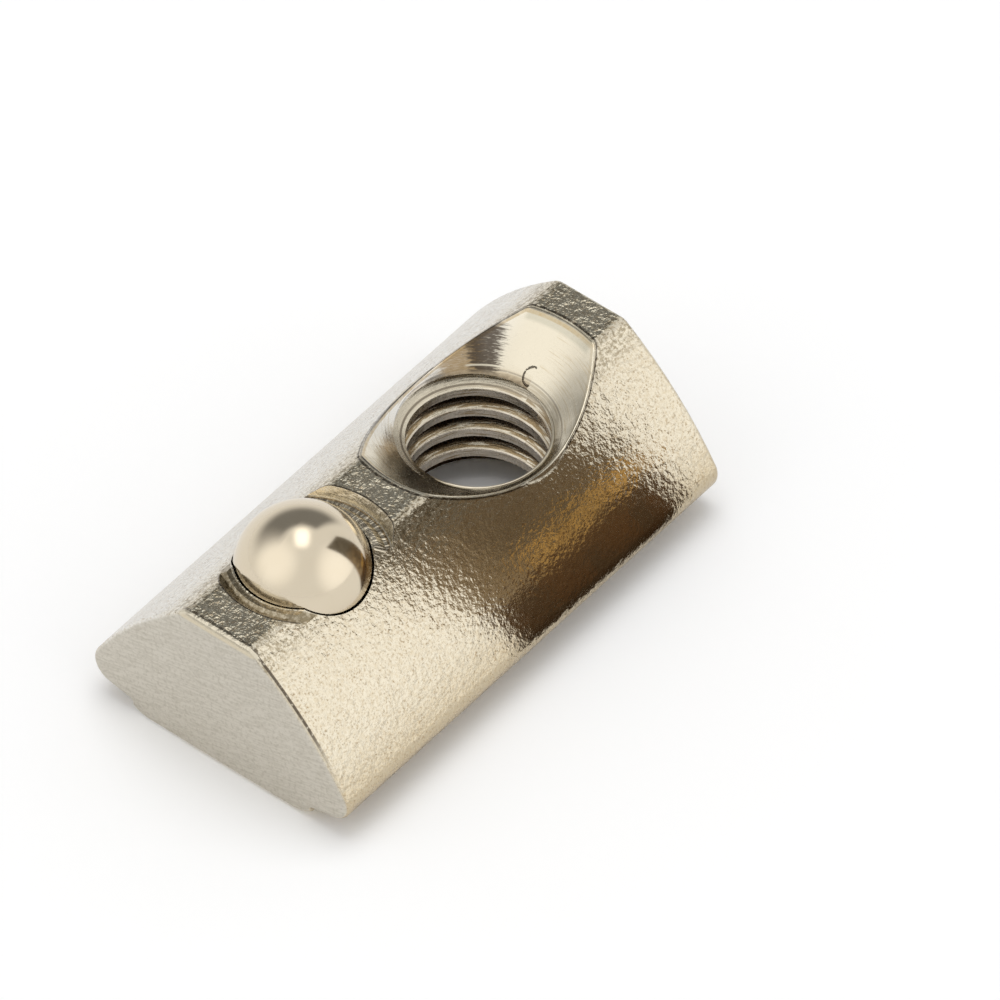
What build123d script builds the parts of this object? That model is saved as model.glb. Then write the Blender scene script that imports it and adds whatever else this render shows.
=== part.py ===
from build123d import *
import math
import os

# A roll in nut for an 8 mm T slot, with an M6 thread and a sprung detent ball.
# It lies on its neck face with the crown up. X runs along the nut, from the thread to the ball,
# Y across it and Z up. The origin is on the thread's axis, in the plane of the neck face.

# Bar that the nut is cut from, as seen from its end
body_length = 20.0
body_height = 6.6
side_edge_width = 12.03        # across the two side edges, before they are rounded
side_edge_height = 0.94
crown_width = 2.9              # flat strip along the top, before its edges are blended
flank_bulge = 0.44             # rise of each flank's arc above its chord
neck_width = 7.9               # runs in the 8 mm slot
neck_height = 0.5
neck_edge_radius = 1.2
neck_edge_rise = 0.3           # how far up the neck its rounded edge reaches
neck_corner_radius = 0.1       # in the corner between neck and shoulder
side_edge_radius = 0.85
crown_edge_radius = 0.5
end_edge_radius = 0.2          # tumbled edges round both end faces

# Threaded hole, left at its tapping size
thread_to_end = 6.2            # from the thread's axis to the end face away from the ball
tapping_diameter = 5.0         # for M6 x 1
neck_sink_diameter = 7.05
neck_sink_angle = 90
crown_sink_diameter = 9.4
crown_sink_angle = 104
sink_edge_radius = 0.08        # deburred edge where the countersink meets the crown and flanks

# Detent ball, and the pocket that holds it
ball_diameter = 4.762          # a 3/16 inch bearing ball
ball_to_end = 4.5              # from the ball's centre to the end face nearest it
ball_below_crown = 0.62        # from the crown down to the ball's centre
ball_clearance = 0.05          # radial, between the ball and its pocket
pocket_floor = 1.1             # metal left between the pocket and the neck face

# Groove pressed into the crown round the ball, which closes a lip over it
groove_diameter = 6.36
groove_shift = 0.2             # of its outer wall from the ball's axis towards the thread
groove_depth = 0.32
groove_lean = 0.24             # how far each of its walls leans over that depth
lip_width = 0.25               # along its top
lip_drop = 0.1                 # from the crown down to its top

# Spring under the ball
wire_diameter = 0.4
wire_sides = 8                 # flats that stand for its round section, which keeps the coils light
coil_count = 4
spring_clearance = 0.3         # radial, between the coils and the pocket
ball_gap = 0.05                # between the ball and the top coil

half_neck = neck_width / 2
ball_radius = ball_diameter / 2
pocket_radius = ball_radius + ball_clearance
ball_centre = Vector(body_length - thread_to_end - ball_to_end, 0, body_height - ball_below_crown)
clear_height = 1.0             # how far the cutting tools stand out of the metal


def bar_section():
    """End view of the bar: neck, shoulders, side edges, flanks and crown, with its edges blended."""
    edge_run = math.sqrt(neck_edge_radius**2 - (neck_edge_radius - neck_edge_rise) ** 2)
    edge_start = Vector(half_neck - edge_run, 0)
    edge_end = Vector(half_neck, neck_edge_rise)
    neck_corner = Vector(half_neck, neck_height)
    side_edge = Vector(side_edge_width / 2, side_edge_height)
    crown_edge = Vector(crown_width / 2, body_height)
    with BuildSketch(Plane.YZ.offset(-thread_to_end)) as section:
        with BuildLine():
            Line((0, 0), edge_start)
            RadiusArc(edge_start, edge_end, -neck_edge_radius)
            Polyline(edge_end, neck_corner, side_edge)
            SagittaArc(side_edge, crown_edge, -flank_bulge)
            Line(crown_edge, (0, body_height))
            mirror(about=Plane.YZ)
        make_face()
        fillet(both_sides(section, neck_corner), neck_corner_radius)
        fillet(both_sides(section, side_edge), side_edge_radius)
        fillet(both_sides(section, crown_edge), crown_edge_radius)
    return section.sketch


def both_sides(section, corner):
    """The corner of the section and its mirror image."""
    return [section.vertices().sort_by_distance(Vector(side * corner.X, corner.Y))[0] for side in (-1, 1)]


def blank():
    """Length of the bar, with the edges of its two end faces rounded."""
    bar = extrude(bar_section(), amount=body_length)
    ends = bar.faces().filter_by(Axis.X)
    return fillet(ends.edges(), end_edge_radius)


def hole_tool():
    """Solid that cuts the threaded hole: a tapping drill with a countersink at each end."""
    neck_slope = math.tan(math.radians(neck_sink_angle / 2))
    crown_slope = math.tan(math.radians(crown_sink_angle / 2))
    bore_radius = tapping_diameter / 2
    neck_sink_end = (neck_sink_diameter / 2 - bore_radius) / neck_slope
    crown_sink_end = body_height - (crown_sink_diameter / 2 - bore_radius) / crown_slope
    top = body_height + clear_height
    with BuildSketch(Plane.XZ) as half:
        with BuildLine():
            Polyline(
                (0, -clear_height),
                (neck_sink_diameter / 2 + clear_height * neck_slope, -clear_height),
                (bore_radius, neck_sink_end),
                (bore_radius, crown_sink_end),
                (crown_sink_diameter / 2 + clear_height * crown_slope, top),
                (0, top),
                close=True,
            )
        make_face()
    return revolve(half.sketch, Axis.Z)


def pocket_tool():
    """Solid that cuts the blind pocket: a bore up to the ball's centre, round above it like the ball."""
    depth = ball_centre.Z - pocket_floor
    bore = Cylinder(pocket_radius, depth, align=(Align.CENTER, Align.CENTER, Align.MIN))
    return Pos(ball_centre.X, 0, pocket_floor) * bore + Pos(ball_centre) * Sphere(pocket_radius)


def groove_tool():
    """Solid that cuts the groove, and trims the top of the lip left standing between it and the pocket."""
    lip_top = body_height - lip_drop
    groove_floor = body_height - groove_depth
    lip_inner = math.sqrt(pocket_radius**2 - (lip_top - ball_centre.Z) ** 2)
    lip_outer = lip_inner + lip_width
    groove_radius = groove_diameter / 2
    upright = (Align.CENTER, Align.CENTER, Align.MIN)
    wall = Cone(groove_radius - groove_lean, groove_radius, groove_depth, align=upright)
    lip = Cone(lip_outer + groove_lean, lip_outer, lip_top - groove_floor, align=upright)
    above = Cylinder(groove_radius, clear_height, align=upright)
    tool = Pos(ball_centre.X - groove_shift, 0, groove_floor) * wall
    tool += Pos(ball_centre.X - groove_shift, 0, body_height) * above
    return tool - Pos(ball_centre.X, 0, groove_floor) * lip


def nut_body():
    """The one piece of steel: the blank with its hole, the ball's pocket and the groove round it."""
    body = blank() - hole_tool()
    crown_sink = body.faces().filter_by(GeomType.CONE).sort_by(Axis.Z)[-1]
    round_edges = crown_sink.edges().filter_by(GeomType.LINE, reverse=True)
    rim = round_edges.sort_by(Axis.Z)[1:]
    body = fillet(rim, sink_edge_radius)
    return body - groove_tool() - pocket_tool()


def detent_ball():
    """The ball at rest, held up against the lip by the spring."""
    return Pos(ball_centre) * Sphere(ball_radius)


def detent_spring():
    """Wire coiled under the ball, with both ends ground flat."""
    coil_radius = pocket_radius - spring_clearance - wire_diameter / 2
    inner_radius = coil_radius - wire_diameter / 2
    seat_height = ball_centre.Z - math.sqrt(ball_radius**2 - inner_radius**2) - ball_gap
    spring_length = seat_height - pocket_floor
    path = Helix(pitch=spring_length / coil_count, height=spring_length, radius=coil_radius)
    wire = Plane(path @ 0, z_dir=path % 0) * RegularPolygon(wire_diameter / 2, wire_sides)
    coil = sweep(wire, path, is_frenet=True)
    ground = Cylinder(pocket_radius, spring_length, align=(Align.CENTER, Align.CENTER, Align.MIN))
    return Pos(ball_centre.X, 0, pocket_floor) * (coil & ground)


os.makedirs("parts", exist_ok=True)
export_step(nut_body(), "parts/nut_body.step")
export_step(detent_ball(), "parts/detent_ball.step")
export_step(detent_spring(), "parts/detent_spring.step")
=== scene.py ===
import bpy
from math import cos, pi, radians, sin, tan
from mathutils import Matrix, Vector


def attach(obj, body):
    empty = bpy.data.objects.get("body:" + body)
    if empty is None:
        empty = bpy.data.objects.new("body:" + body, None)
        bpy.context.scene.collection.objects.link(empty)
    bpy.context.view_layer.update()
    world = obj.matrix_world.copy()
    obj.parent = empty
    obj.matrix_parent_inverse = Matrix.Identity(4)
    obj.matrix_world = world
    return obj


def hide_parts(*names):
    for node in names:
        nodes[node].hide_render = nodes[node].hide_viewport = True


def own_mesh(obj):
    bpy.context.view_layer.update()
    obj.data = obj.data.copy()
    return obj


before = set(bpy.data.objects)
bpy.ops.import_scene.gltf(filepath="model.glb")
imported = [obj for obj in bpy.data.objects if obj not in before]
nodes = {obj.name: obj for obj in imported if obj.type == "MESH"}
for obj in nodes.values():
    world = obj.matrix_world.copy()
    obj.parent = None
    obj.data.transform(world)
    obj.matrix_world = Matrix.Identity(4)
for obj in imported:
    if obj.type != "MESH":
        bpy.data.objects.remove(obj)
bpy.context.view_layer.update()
mm = 0.001

# Camera. It looks down at the nut from beyond its ball end, on the +Y side, through a long lens.
# The nut keeps its place in the left half of the picture, as photographed.
camera_lens = 540                       # on Blender's 36 mm sensor
camera_distance = 515.0762 * mm
camera_target = Vector((-1.61774, -0.40221, 0)) * mm
camera_heading = radians(129.68)
camera_tilt = radians(43.1)
camera_roll = radians(-0.55)

camera = bpy.data.objects.new("camera", bpy.data.cameras.new("camera"))
bpy.context.scene.collection.objects.link(camera)
camera.data.lens = camera_lens
camera.data.clip_start = 1 * mm
camera.data.clip_end = 20
camera.matrix_world = (
    Matrix.Translation(camera_target)
    @ Matrix.Rotation(camera_heading, 4, "Z")
    @ Matrix.Rotation(camera_tilt, 4, "X")
    @ Matrix.Rotation(camera_roll, 4, "Z")
    @ Matrix.Translation((0, 0, camera_distance))
)
bpy.context.scene.camera = camera

# Nut. One piece of free cutting steel, sawn from a drawn bar, drilled, countersunk from both sides
# and tapped M6, then tumbled and nickel plated. The solid's bore is at its tapping size, so the
# thread is cut here, in a copy of it.
thread_radius = 3.0 * mm
thread_pitch = 1.0 * mm
thread_start = -0.78 * mm               # height of the tap's first groove on the +X side, below the neck
thread_turns = 7
groove_root = 0.07 * mm                 # width of the flat at the bottom of the groove
cutter_radius = 2.35 * mm               # the cutter reaches inside the bore
steps_per_turn = 96
bead_radius = 2.56 * mm                 # of the edge that the tap raises round the hole's mouth
bead_height = 4.925 * mm
bead_thickness = 0.06 * mm              # half of it stands out of the countersink
bead_sides = 12
merge_gap = 0.001 * mm


def start_alone():
    """Leaves edit mode and deselects everything, as the frame's nodes come in selected."""
    if bpy.context.mode != "OBJECT":
        bpy.ops.object.mode_set(mode="OBJECT")
    bpy.ops.object.select_all(action="DESELECT")


def take_up(piece):
    """Makes the piece the only selected one."""
    start_alone()
    piece.select_set(True)
    bpy.context.view_layer.objects.active = piece


def open_up(piece):
    """Puts the piece in edit mode, with all of its mesh selected."""
    take_up(piece)
    bpy.ops.object.mode_set(mode="EDIT")
    bpy.ops.mesh.select_all(action="SELECT")


def merged_copy(node, name):
    """A copy of a CAD node with its loose triangles joined up. The node's own mesh is left alone."""
    piece = bpy.data.objects.new(name, nodes[node].data.copy())
    bpy.context.scene.collection.objects.link(piece)
    take_up(piece)
    bpy.ops.mesh.customdata_custom_splitnormals_clear()
    open_up(piece)
    bpy.ops.mesh.remove_doubles(threshold=merge_gap)
    bpy.ops.object.mode_set(mode="OBJECT")
    return piece


groove_depth = thread_radius - cutter_radius
groove_mouth = groove_root + 2 * groove_depth * tan(radians(30))
groove_middle = cutter_radius + groove_depth / 2
start_alone()
bpy.ops.mesh.primitive_plane_add(size=1, location=(0, 0, 0))
tap = bpy.context.object
tap.name = "tap"
tap.scale = (groove_depth, groove_mouth, 1)
tap.rotation_euler = (radians(90), 0, 0)
tap.location = (groove_middle, 0, thread_start)
bpy.ops.object.transform_apply(location=True, rotation=True, scale=True)
for corner in tap.data.vertices:
    if corner.co.x > groove_middle:
        corner.co.z = thread_start + (corner.co.z - thread_start) * groove_root / groove_mouth
open_up(tap)
bpy.ops.mesh.delete(type="ONLY_FACE")
bpy.ops.object.mode_set(mode="OBJECT")
sweep = tap.modifiers.new("sweep", "SCREW")
sweep.steps = sweep.render_steps = steps_per_turn
sweep.iterations = thread_turns
sweep.screw_offset = thread_pitch
bpy.ops.object.modifier_apply(modifier="sweep")
open_up(tap)
bpy.ops.mesh.remove_doubles(threshold=merge_gap)
bpy.ops.mesh.fill_holes(sides=0)
bpy.ops.mesh.normals_make_consistent(inside=False)
bpy.ops.object.mode_set(mode="OBJECT")

start_alone()
bpy.ops.mesh.primitive_torus_add(
    major_segments=steps_per_turn,
    minor_segments=bead_sides,
    major_radius=bead_radius,
    minor_radius=bead_thickness,
    location=(0, 0, bead_height),
)
bead = bpy.context.object
bpy.ops.object.transform_apply(location=True, rotation=True, scale=True)

nut = merged_copy("nut_body", "threaded_nut")
for tool, operation in ((bead, "UNION"), (tap, "DIFFERENCE")):
    join = nut.modifiers.new("join", "BOOLEAN")
    join.operation = operation
    join.solver = "MANIFOLD"
    join.object = tool
    bpy.ops.object.modifier_apply(modifier="join")
    bpy.data.objects.remove(tool)
take_up(nut)
bpy.ops.object.shade_smooth_by_angle(angle=radians(26))
flats = nut.modifiers.new("flats", "WEIGHTED_NORMAL")
flats.keep_sharp = True
bpy.ops.object.modifier_apply(modifier="flats")


def feed(tree, socket, value):
    """Links a reading to a socket, or sets the socket to a plain value."""
    if isinstance(value, Reading):
        tree.links.new(value.socket, socket)
    else:
        socket.default_value = value


class Reading:
    """A value in a material's nodes. Arithmetic on readings adds Math nodes, and node() any other."""

    def __init__(self, tree, socket=None):
        self.tree = tree
        self.socket = socket

    def node(self, kind, settings=None, links=None, output=None):
        """Adds a node. Its settings are set first, then its sockets, each by its name or number."""
        made = self.tree.nodes.new("ShaderNode" + kind)
        for name, value in (settings or {}).items():
            setattr(made, name, value)
        for name, value in (links or {}).items():
            if isinstance(name, str):
                socket = next(s for s in made.inputs if s.enabled and s.name == name)
            else:
                socket = made.inputs[name]
            feed(self.tree, socket, value)
        shown = [s for s in made.outputs if s.enabled and output in (None, s.name)]
        return Reading(self.tree, shown[0])

    def math(self, operation, *others):
        return self.node("Math", {"operation": operation}, dict(enumerate((self,) + others)))

    def __add__(self, other): return self.math("ADD", other)
    def __radd__(self, other): return self.math("ADD", other)
    def __sub__(self, other): return self.math("SUBTRACT", other)
    def __rsub__(self, other): return (self * -1).math("ADD", other)
    def __mul__(self, other): return self.math("MULTIPLY", other)
    def __rmul__(self, other): return self.math("MULTIPLY", other)
    def __neg__(self): return self * -1


def rise(reading, low, high):
    """0 below low, 1 above high, and smooth between them."""
    ends = {"Value": reading, "From Min": low, "From Max": high}
    return reading.node("MapRange", {"interpolation_type": "SMOOTHSTEP"}, ends)


def band(reading, low, high, blur):
    """1 between low and high, fading to 0 over the blur outside them."""
    return rise(reading, low - blur, low) * (1 - rise(reading, high, high + blur))


def mix(share, first, second):
    """Colour between the first and the second."""
    return share.node("Mix", {"data_type": "RGBA"}, {"Factor": share, "A": first, "B": second})


def noise(place, size, detail=2.0, rough=0.5):
    """Noise from 0 to 1 whose lumps are about that size in millimetres."""
    links = {"Vector": place, "Scale": 1 / size, "Detail": detail, "Roughness": rough}
    return place.node("TexNoise", None, links, "Fac")


def new_finish(name):
    """A new material, and a reading in its nodes with the place on the piece, in millimetres."""
    material = bpy.data.materials.new(name)
    material.use_nodes = True
    place = Reading(material.node_tree).node("TexCoord", output="Object")
    place = place.node("VectorMath", {"operation": "SCALE"}, {0: place, "Scale": 1 / mm})
    return material, place


def split(place):
    """The three numbers of a place."""
    return [place.node("SeparateXYZ", None, {0: place}, axis) for axis in "XYZ"]


def finish_with(material, **values):
    """Feeds the material's shader, and gives a reading of that shader."""
    shader = material.node_tree.nodes["Principled BSDF"]
    for name, value in values.items():
        feed(material.node_tree, shader.inputs[name.replace("_", " ")], value)
    return Reading(material.node_tree, shader.outputs["BSDF"])


def angle(across, ahead):
    """Direction of a place round an axis, in degrees."""
    return across.math("ARCTAN2", ahead) * (180 / pi)


def distance(across, ahead):
    """Distance of a place from an axis."""
    return (across * across + ahead * ahead).math("SQRT")


def stretched(first, second, third):
    """A place for noise, put together from three numbers."""
    return first.node("CombineXYZ", None, {0: first, 1: second, 2: third})


nickel_cream = (0.77, 0.70, 0.555, 1)
# painted sheen: a paler, cooler nickel for the flank that catches a bright grazing reflection
nickel_painted_sheen = (0.87, 0.85, 0.795, 1)
nickel_crown = (0.62, 0.575, 0.455, 1)
nickel_grey = (0.69, 0.65, 0.57, 1)
grain_grey = (0.47, 0.43, 0.35, 1)
dull_brown = (0.36, 0.25, 0.13, 1)
dark_stain_and_reflection = (0.075, 0.055, 0.038, 1)
olive_stain_and_shade = (0.27, 0.22, 0.14, 1)
gold_stain_and_shade = (0.50, 0.37, 0.19, 1)
deep_gold = (0.40, 0.28, 0.14, 1)
crest_grey = (0.66, 0.59, 0.50, 1)
flank_brown = (0.34, 0.25, 0.14, 1)
root_brown = (0.10, 0.07, 0.045, 1)

# Sizes that the finish goes by, in millimetres
crown_height = 6.6
crown_half_width = 1.45
ball_face = 13.8                        # x of the end face by the ball
far_face = -6.2                         # x of the other one
bore_radius = 2.5
sink_slope = tan(radians(52))           # of the crown's countersink
sink_radius = 4.7                       # at the crown's height, before its edge is rounded
sink_foot = 4.85                        # where the countersink meets the bore
ball_place = 9.3                        # x of the ball's axis
groove_place = 9.1                      # x of the axis of the groove round the ball
groove_radius = 3.19                    # at the crown's height
groove_lean = 0.75                      # how far its wall leans in, for each mm of depth
flank_radius = 15.242                   # of the arc that both flanks follow
flank_centre = (7.789, 5.523)           # past the middle of the nut, and below the neck face
burr_place = (-2.97, -0.10)
patch_turn = -138.0                     # where the painted dark reflection in the countersink turns to painted gold, in degrees

nickel, place = new_finish("tumbled_nickel")
x, y, z = split(place)
side = y.math("ABSOLUTE")
from_thread = distance(x, y)
ball_x = x - ball_place
from_ball = distance(ball_x, y)
from_groove = distance(x - groove_place, y)
round_thread = angle(y, x)
round_ball = angle(y, -ball_x)          # 0 on the side of the thread
past_face = x - ball_face               # below 0 on all of the nut

# Where each tool has been: countersinks, tap, saw, and the punch that pressed the groove
sink_gap = (z - crown_height) * sink_slope + sink_radius - from_thread      # 0 on its cone
in_sink = rise(sink_gap, -0.10, -0.04) * rise(z, sink_foot - 0.15, sink_foot)
in_bore = (1 - rise(from_thread, 3.1, 3.2)) * (1 - in_sink)
neck_sink = (1 - rise(from_thread, 3.6, 3.65)) * (1 - rise(z, 0.9, 1.1))
turned = (in_sink + in_bore + neck_sink).math("MINIMUM", 1.0)
sawn = rise(past_face, -0.08, -0.01) + rise(far_face - x, -0.08, -0.01)
groove_gap = groove_radius - (crown_height - z) * groove_lean - from_groove  # 0 on its wall
groove = rise(groove_gap, -0.01, 0.01) * rise(z, 6.25, 6.27) * rise(from_ball, 2.42, 2.46)
groove_bed = groove * rise(groove_gap, 0.06, 0.12)
groove_line = band(groove_gap, -0.04, 0.0, 0.03) * rise(z, 6.3, 6.4)
tumbled = 1 - (turned + sawn).math("MINIMUM", 1.0)
crown = (1 - rise(side, crown_half_width - 0.2, crown_half_width)) * rise(z, 6.3, 6.4)

# Grain of the metal, and the marks of the tools
lumps = noise(place, 0.22, 2.0, 0.5)
grain = noise(place, 0.08, 1.0, 0.5)
mottle = noise(place, 0.13, 3.0, 0.6)
waves = noise(place, 1.1, 1.0)
dents = noise(place, 0.42, 3.0, 0.6)
rings = noise(stretched(from_thread * 16.0, x * 0.3, y * 0.3), 1.0, 2.0, 0.6)
saw = noise(stretched(y * 1.2 + z * 0.4, z * 11.0 - y * 3.0, x), 1.0, 2.0, 0.6)
ticks = noise(stretched(round_ball * 0.45, from_ball * 1.5, z), 1.0, 1.0)
tick_share = groove_bed * band(round_ball, -75.0, 55.0, 20.0)
helix = noise(stretched(round_thread * 0.04, z * 14.0, from_thread * 14.0), 1.0, 3.0, 0.6)
burr_x = x - burr_place[0]
burr_y = y - burr_place[1]
burr = band(distance(burr_x, burr_y) + mottle * 0.08, 0.30, 0.32, 0.03)
burr = burr * (1 - band(angle(burr_y, burr_x), 30.0, 165.0, 15.0)) * in_sink * rise(mottle, 0.36, 0.5)
tumbled_grain = lumps * 0.042 + crown * dents * 0.08 + grain * 0.010 + waves * 0.03

relief = (
    tumbled * (1 - groove * 0.7) * tumbled_grain
    + turned * rings * 0.003
    + in_bore * helix * 0.012
    + sawn * (grain * 0.005 + saw * 0.005 + lumps * 0.005)
    + tick_share * ticks * 0.05
    + burr * 0.03
)
bump = relief.node("Bump", None, {"Strength": 1.0, "Distance": mm, "Height": relief})

# Stains and wear, and painted light: a painted sheen on the -Y flank, painted shade low on the flanks,
# round the hole's mouth and in the thread, painted highlights on the thread, and a painted reflection in
# the countersink
specks = rise(grain, 0.52, 0.72)
blotches = rise(noise(place, 0.5, 3.0, 0.6), 0.46, 0.66)
edge_stain = band(side, 1.25, 1.9, 0.5) * rise(z, 5.0, 5.6) * tumbled * rise(mottle, 0.46, 0.60)
# Painted shade: the flanks are darker and warmer low down, for the shaded table that they reflect there.
low_flank_painted_shade = (1 - rise(z, 1.2, 3.4)) * rise(z, 0.4, 0.6) * tumbled
edge_line = band(past_face, -0.19, -0.12, 0.03) * rise(y, 1.2, 1.5) * rise(z, 2.6, 4.4)
worn_edge = band(past_face + mottle * 0.12, -0.10, 0.07, 0.03) * rise(z, 6.3, 6.4)
crown_line = band(past_face, -0.28, -0.22, 0.04) * rise(z, 6.4, 6.5) * rise(mottle, 0.35, 0.5)
rim_line = band(sink_gap + mottle * 0.08, -0.15, -0.09, 0.035) * rise(z, 4.0, 4.6)
flank_gap = flank_radius - distance(side + flank_centre[0], z + flank_centre[1])    # 0 on a flank
rim_gap = flank_gap.math("MINIMUM", crown_height - z)
rim_edge = in_sink * (1 - rise(rim_gap, 0.01, 0.04)) * (1 - rise(y, -1.0, 1.5))
rim_gold = in_sink * band(rim_gap, 0.045, 0.10, 0.03)
combed = noise(stretched(from_thread * 22.0, round_thread * 0.05, z), 1.0, 2.0, 0.6)
scratches = noise(stretched(from_thread * 60.0, round_thread * 0.25, z), 1.0, 2.0, 0.6)
patch_angle = round_thread + (combed - 0.5) * 14.0 + (scratches - 0.5) * 16.0
# Painted reflection: a dark patch on the countersink's far wall, combed along its turning marks, that
# turns gold at one edge.
painted_reflection_patch = band(patch_angle, -151.0, patch_turn, 5.0) * band(from_thread, 2.85, 4.0, 0.2) * in_sink
painted_reflection_patch = painted_reflection_patch * (1 - rise(scratches, 0.55, 0.75) * 0.6)
painted_reflection_gold = band(patch_angle, patch_turn, -120.0, 9.0) * band(from_thread, 2.9, 3.9, 0.3) * in_sink
mouth_shade = in_sink * (1 - rise(from_thread, 2.78, 2.84)) * rise(combed, 0.28, 0.5)
far_side = band(round_thread, -175.0, -95.0, 25.0)
far_wall = in_sink * far_side * (1 - rise(from_thread + combed * 0.3, 2.75, 3.25))
# Painted shade: a dark band at the mouth of the hole, on its far side.
far_mouth_painted_shade = in_sink * (1 - rise(from_thread + mottle * 0.2, 2.68, 2.92)) * far_side
mouth_line = in_sink * band(from_thread, 2.84, 2.87, 0.02) * rise(mottle, 0.2, 0.4)
sink_lines = in_sink * rise(combed, 0.5, 0.7) * (1 - band(round_thread, -180.0, -155.0, 12.0))
tool_mark = band(from_thread, 2.93, 2.96, 0.02) * band(round_thread, -156.0, -134.0, 3.0) * in_sink
mouth_edge = rise(sink_gap, 0.008, 0.02) * (1 - rise(from_thread, 2.66, 2.70))
groove_foot = groove * band(groove_gap, 0.08, 0.13, 0.03) * rise(mottle, 0.3, 0.5)
near_groove = groove * rise(round_ball.math("ABSOLUTE"), 100.0, 135.0)
thread_depth = from_thread - bore_radius
# Painted shade: a dark band on the flank of the thread's top turn.
top_turn_painted_shade = rise(z, 4.4, 4.6) * band(thread_depth, 0.12, 0.16, 0.03)

# Painted sheen: the -Y flank is painted paler and cooler, for the bright reflection it catches at a
# grazing angle.
colour = mix(rise(-y, 1.0, 3.0), nickel_cream, nickel_painted_sheen)
colour = mix(crown, colour, nickel_crown)
colour = mix(tumbled * rise(mottle, 0.35, 0.75) * 0.35, colour, gold_stain_and_shade)
# Painted shade low on the flanks.
colour = mix(low_flank_painted_shade * 0.5, colour, gold_stain_and_shade)
colour = mix(tumbled * specks * (0.35 + blotches * 0.35), colour, dull_brown)
colour = mix(sawn, colour, nickel_grey)
colour = mix(sawn * rise(saw, 0.42, 0.62) * 0.3, colour, grain_grey)
colour = mix(sawn * rise(mottle, 0.48, 0.66) * 0.42, colour, grain_grey)
colour = mix(edge_stain * 0.6, colour, olive_stain_and_shade)
colour = mix(edge_line * rise(mottle, 0.25, 0.45) * 0.9, colour, dark_stain_and_reflection)
colour = mix(worn_edge, colour, nickel_cream)
colour = mix(crown_line * 0.7, colour, dark_stain_and_reflection)
colour = mix(rim_line * (0.35 + mottle * 0.9), colour, dark_stain_and_reflection)
colour = mix(rim_edge * (0.2 + mottle * 0.8), colour, dark_stain_and_reflection)
colour = mix(rim_gold * (0.1 + mottle) * (1 - rise(y, 0.0, 2.0) * 0.7), colour, gold_stain_and_shade)
colour = mix(sink_lines * 0.35, colour, gold_stain_and_shade)
# Painted shade round the mouth of the hole.
colour = mix(mouth_shade * 0.45, colour, olive_stain_and_shade)
colour = mix(far_wall * 0.5, colour, deep_gold)
# Painted shade at the far side of the hole's mouth.
colour = mix(far_mouth_painted_shade * 0.75, colour, root_brown)
colour = mix(mouth_line * 0.4, colour, dark_stain_and_reflection)
# Painted reflection in the countersink: gold at its edge, then dark.
colour = mix(painted_reflection_gold * (0.45 + scratches * 0.8), colour, deep_gold)
colour = mix(painted_reflection_patch * 0.92, colour, dark_stain_and_reflection)
colour = mix(tool_mark * 0.8, colour, nickel_cream)
colour = mix(burr * 0.8, colour, dark_stain_and_reflection)
colour = mix(groove_line * 0.85, colour, dark_stain_and_reflection)
colour = mix(groove, colour, nickel_cream)
colour = mix(groove * 0.15, colour, gold_stain_and_shade)
colour = mix(groove_foot * 0.8, colour, dull_brown)
colour = mix(near_groove * (0.5 + rise(mottle, 0.45, 0.6) * 0.5), colour, olive_stain_and_shade)
colour = mix(groove_bed * (1 - tick_share) * rise(mottle, 0.3, 0.6), colour, olive_stain_and_shade)
colour = mix(tick_share * rise(ticks, 0.4, 0.6) * 0.55, colour, dark_stain_and_reflection)

# The thread's colours are partly painted light: painted shade darkens its flanks and roots with depth,
# and painted highlights lighten the crest edges and the top turn.
thread_colour = mix(rise(helix, 0.45, 0.7), crest_grey, flank_brown)
streaky_flank = mix(rise(helix, 0.40, 0.50), nickel_cream, flank_brown)
thread_colour = mix(rise(thread_depth, 0.005, 0.03) * 0.8, thread_colour, nickel_cream)
thread_colour = mix(rise(thread_depth, 0.04, 0.07), thread_colour, streaky_flank)
thread_colour = mix(rise(thread_depth + helix * 0.2, 0.22, 0.40), thread_colour, root_brown)
thread_colour = mix(rise(z, 4.35, 4.65) * 0.8, thread_colour, nickel_cream)
thread_colour = mix(top_turn_painted_shade * 0.7, thread_colour, root_brown)
colour = mix(in_bore, colour, thread_colour)
colour = mix(mouth_edge, colour, nickel_cream)

roughness = 0.17 + grain * 0.10 + specks * 0.08
roughness = roughness - turned * 0.05 + in_bore * 0.08 + sawn * 0.28 + (mouth_edge + worn_edge) * 0.2
finish_with(nickel, Base_Color=colour, Metallic=1.0, Roughness=roughness, Normal=bump)
nut.data.materials.clear()
nut.data.materials.append(nickel)
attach(nut, "nut")
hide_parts("nut_body")

# Detent ball. A hardened and polished 3/16 inch bearing ball, pushed into its pocket from the crown
# before the groove's lip is closed over it.
ball_warm = (0.75, 0.65, 0.49, 1)
ball_pale = (0.78, 0.685, 0.53, 1)

chrome, place = new_finish("polished_ball_steel")
haze = noise(place, 0.7, 3.0)
finish_with(
    chrome,
    Base_Color=mix(haze, ball_warm, ball_pale),
    Metallic=1.0,
    Roughness=0.12 + haze * 0.04,
)
nodes["detent_ball"].data.materials[0] = chrome

# Spring. Drawn spring wire, wound, ground flat at both ends, oiled and otherwise bare. It stands on the
# pocket's floor and shortens as the ball is pressed in. A copy of it takes the solid's place.
wire_dark = (0.40, 0.39, 0.37, 1)
wire_bright = (0.50, 0.49, 0.46, 1)

spring = merged_copy("detent_spring", "coil_spring")
bpy.ops.object.shade_smooth_by_angle(angle=radians(50))
wire_steel, place = new_finish("drawn_wire")
streaks = noise(place, 0.15, 2.0)
finish_with(
    wire_steel,
    Base_Color=mix(streaks, wire_dark, wire_bright),
    Metallic=1.0,
    Roughness=0.3 + streaks * 0.15,
)
spring.data.materials.clear()
spring.data.materials.append(wire_steel)
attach(spring, "nut")
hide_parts("detent_spring")
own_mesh(spring)

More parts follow.
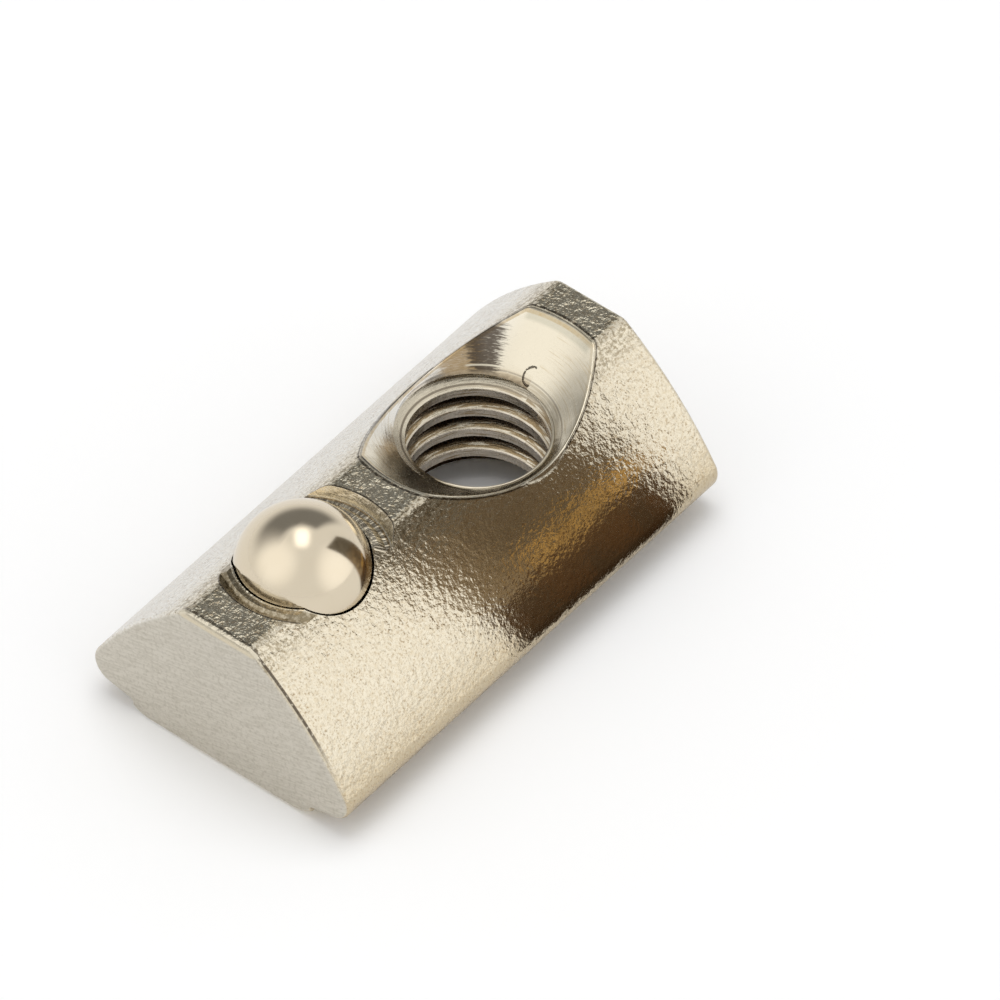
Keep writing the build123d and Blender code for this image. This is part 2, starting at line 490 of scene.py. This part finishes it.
# Table. White paper on a flat top. The camera and the metal see it as white, and it keeps the
# nut's shadow. It is clear from below, and the metal doesn't see what the nut covers of it, so that
# the neck face shows too.
table_size = 0.6
table_drop = 0.01 * mm                  # below the neck face, so that the two don't share a plane
neck_flat = 3.8                         # half the width of the neck face, in mm
neck_hole = 3.6                         # radius of the countersink in it
paper_grey = (0.8, 0.8, 0.8, 1)
white = (1, 1, 1, 1)

start_alone()
bpy.ops.mesh.primitive_plane_add(size=table_size, location=(0, 0, -table_drop))
table = bpy.context.object
table.name = "table"


def ray_is(reading, kind):
    """1 for the rays of that kind: Camera, Glossy or Transmission."""
    return reading.node("LightPath", output="Is " + kind + " Ray")


def seen_directly(reading, mirror_share=1.0):
    """1 where the camera looks, a share of 1 where a mirror or a glass does, and 0 for soft light."""
    mirrors = ray_is(reading, "Glossy").math("MAXIMUM", ray_is(reading, "Transmission"))
    return ray_is(reading, "Camera").math("MAXIMUM", mirrors * mirror_share)


def cut_out(material, share, shader):
    """Shows the shader as the material's surface, and leaves it clear by that share."""
    clear = share.node("BsdfTransparent")
    surface = share.node("MixShader", None, {0: share, 1: shader, 2: clear})
    feed(material.node_tree, material.node_tree.nodes["Material Output"].inputs["Surface"], surface)


paper, place = new_finish("white_paper")
sheet = finish_with(
    paper,
    Base_Color=mix(seen_directly(place, 0.5), paper_grey, white),
    Roughness=1.0,
    Specular_IOR_Level=0.0,
)
from_below = place.node("NewGeometry", output="Backfacing")
x, y, z = split(place)
under_nut = band(x, far_face + 0.1, ball_face - 0.1, 0.1) * band(y, -neck_flat, neck_flat, 0.1)
under_nut = under_nut * rise(distance(x, y), neck_hole - 0.05, neck_hole + 0.05)
cut_out(paper, from_below.math("MAXIMUM", ray_is(place, "Glossy") * under_nut), sheet)
table.data.materials.append(paper)

# Tent. Thin white cloth all round, brighter where the lamps outside it stand: high over the back,
# and low on both sides. A strip of it at the back hangs in shade.
away = Vector((-0.7696, -0.6386, 0))    # from the camera over the table
right = Vector((-0.6386, 0.7696, 0))    # to the right of the picture
up = Vector((0, 0, 1))
cloth_level = 0.87                      # of the plain cloth, as the metal sees it
shade_depth = 0.75                      # share of that light which the strip in shade lacks
soft_level = 0.68                       # of the soft light that the cloth gives


def aim(across, back, elevation):
    """Direction from the nut, as degrees of height over the table and shares of right and away."""
    flat = (right * across + away * back).normalized()
    return flat * cos(radians(elevation)) + up * sin(radians(elevation))


def lamp(name, direction, distance, width, radiance):
    """A square lamp behind the cloth that lights the table. The metal sees the cloth instead."""
    data = bpy.data.lights.new(name, "AREA")
    data.shape = "SQUARE"
    data.size = width
    data.energy = radiance * pi * width * width
    made = bpy.data.objects.new(name, data)
    bpy.context.scene.collection.objects.link(made)
    made.location = direction * distance
    made.rotation_euler = direction.to_track_quat("Z", "Y").to_euler()
    made.visible_glossy = False


def along(place, direction):
    """How far a place lies along a direction."""
    return place.node("VectorMath", {"operation": "DOT_PRODUCT"}, {0: place, 1: direction}, "Value")


def glow(view, direction, inner, outer):
    """1 within the inner angle of the direction, and 0 beyond the outer one."""
    return rise(along(view, direction), cos(radians(outer)), cos(radians(inner)))


high_lamp = aim(0, 1, 81)
lamp("high_lamp", high_lamp, distance=0.6, width=0.42, radiance=2.2)
lamp("left_lamp", aim(-1, -0.25, 32), distance=0.7, width=0.6, radiance=0.25)
lamp("right_lamp", aim(1, -0.4, 25), distance=0.7, width=0.6, radiance=0.25)

tent = bpy.data.worlds.new("tent")
bpy.context.scene.world = tent
tent.use_nodes = True
view = Reading(tent.node_tree).node("TexCoord", output="Generated")
view_height = split(view)[2].math("ARCSINE") * (180 / pi)
view_right = along(view, right)
turn = angle(view_right, along(view, away))      # 0 straight away from the camera
shade = rise(view_height, 2.0, 26.0) * (1 - rise(view_height, 52.0, 64.0))
shade = shade * rise(turn, -95.0, -36.0) * (1 - rise(turn, 30.0, 44.0))
cloth = (
    cloth_level
    + glow(view, high_lamp, inner=2, outer=23) * (1 - rise(view_right.math("ABSOLUTE"), 0.08, 0.30))
    + glow(view, aim(-1, -0.5, 38), inner=4, outer=46) * 0.32
    + glow(view, aim(1, -0.4, 20), inner=4, outer=46) * 0.36
)
cloth = cloth * (1 - shade * shade_depth)
mirrored = ray_is(view, "Glossy")
plain = soft_level + seen_directly(view) * (1 - soft_level)
sky = tent.node_tree.nodes["Background"]
feed(tent.node_tree, sky.inputs["Strength"], mirrored * cloth + (1 - mirrored) * plain)
feed(tent.node_tree, sky.inputs["Color"], white)

# Brown board. It stands on the table close to the nut's right, and only the metal sees it: it gives
# the ball its dark arc and the flank beside the thread its brown shade.
# The board glows with painted colours instead of being lit: its bands and blotches are painted
# reflections for the metal.
board_line = [(2.27, -8.5), (7.5, -0.6), (10.0, -0.6)]  # right of and away from the origin, in mm
board_height = 18.2                     # mm
board_lean = 0.085                      # how far its near end leans to the camera, for each mm of height
glow_olive = (0.33, 0.245, 0.15, 1)
glow_brown = (0.17, 0.12, 0.07, 1)
glow_grey = (0.17, 0.15, 0.12, 1)
glow_gold = (0.62, 0.37, 0.11, 1)
glow_russet = (0.10, 0.048, 0.016, 1)
glow_black = (0.03, 0.014, 0.005, 1)
glow_blotch = (0.05, 0.037, 0.022, 1)

start_alone()
bpy.ops.mesh.primitive_plane_add(size=1)
board = bpy.context.object
board.name = "brown_board"
bpy.ops.object.mode_set(mode="EDIT")
bpy.ops.mesh.select_all(action="SELECT")
bpy.ops.mesh.subdivide(number_cuts=1)
bpy.ops.object.mode_set(mode="OBJECT")
for corner in board.data.vertices:
    across, depth = board_line[round(corner.co.x * 2) + 1]
    height = (corner.co.y + 0.5) * board_height
    corner.co = (right * across + away * depth + up * height) * mm
# Painted reflections: the board's glow, in bands by height and depth, with dark blotches.
board_glow, place = new_finish("brown_board_glow")
height = split(place)[2]
depth = along(place, away)
glow_blotches = noise(place, 0.7, 3.0, 0.65)
colour = mix(rise(depth, -6.2, -5.0), glow_olive, glow_brown)
colour = mix(rise(height, 8.0, 11.0), colour, glow_grey)
colour = mix(1 - rise(height, 3.4, 3.9), colour, glow_russet)
colour = mix(band(height, 4.0, 4.5, 0.35) * rise(depth, -5.6, -4.8), colour, glow_gold)
colour = mix(1 - rise(height, 1.0, 2.8), colour, glow_black)
colour = mix(rise(glow_blotches, 0.42, 0.60) * 0.75, colour, glow_blotch)
lit = place.node("Emission", None, {"Color": colour, "Strength": 1.0})
top_fade = rise(height, board_height - 1.5, board_height)
near_fade = 1 - rise(depth + height * board_lean, -7.3, -6.9)
cut_out(board_glow, top_fade.math("MAXIMUM", near_fade), lit)
board.data.materials.append(board_glow)
for kind in ("camera", "diffuse", "transmission", "volume_scatter", "shadow"):
    setattr(board, "visible_" + kind, False)

bpy.context.scene.view_settings.view_transform = "Standard"
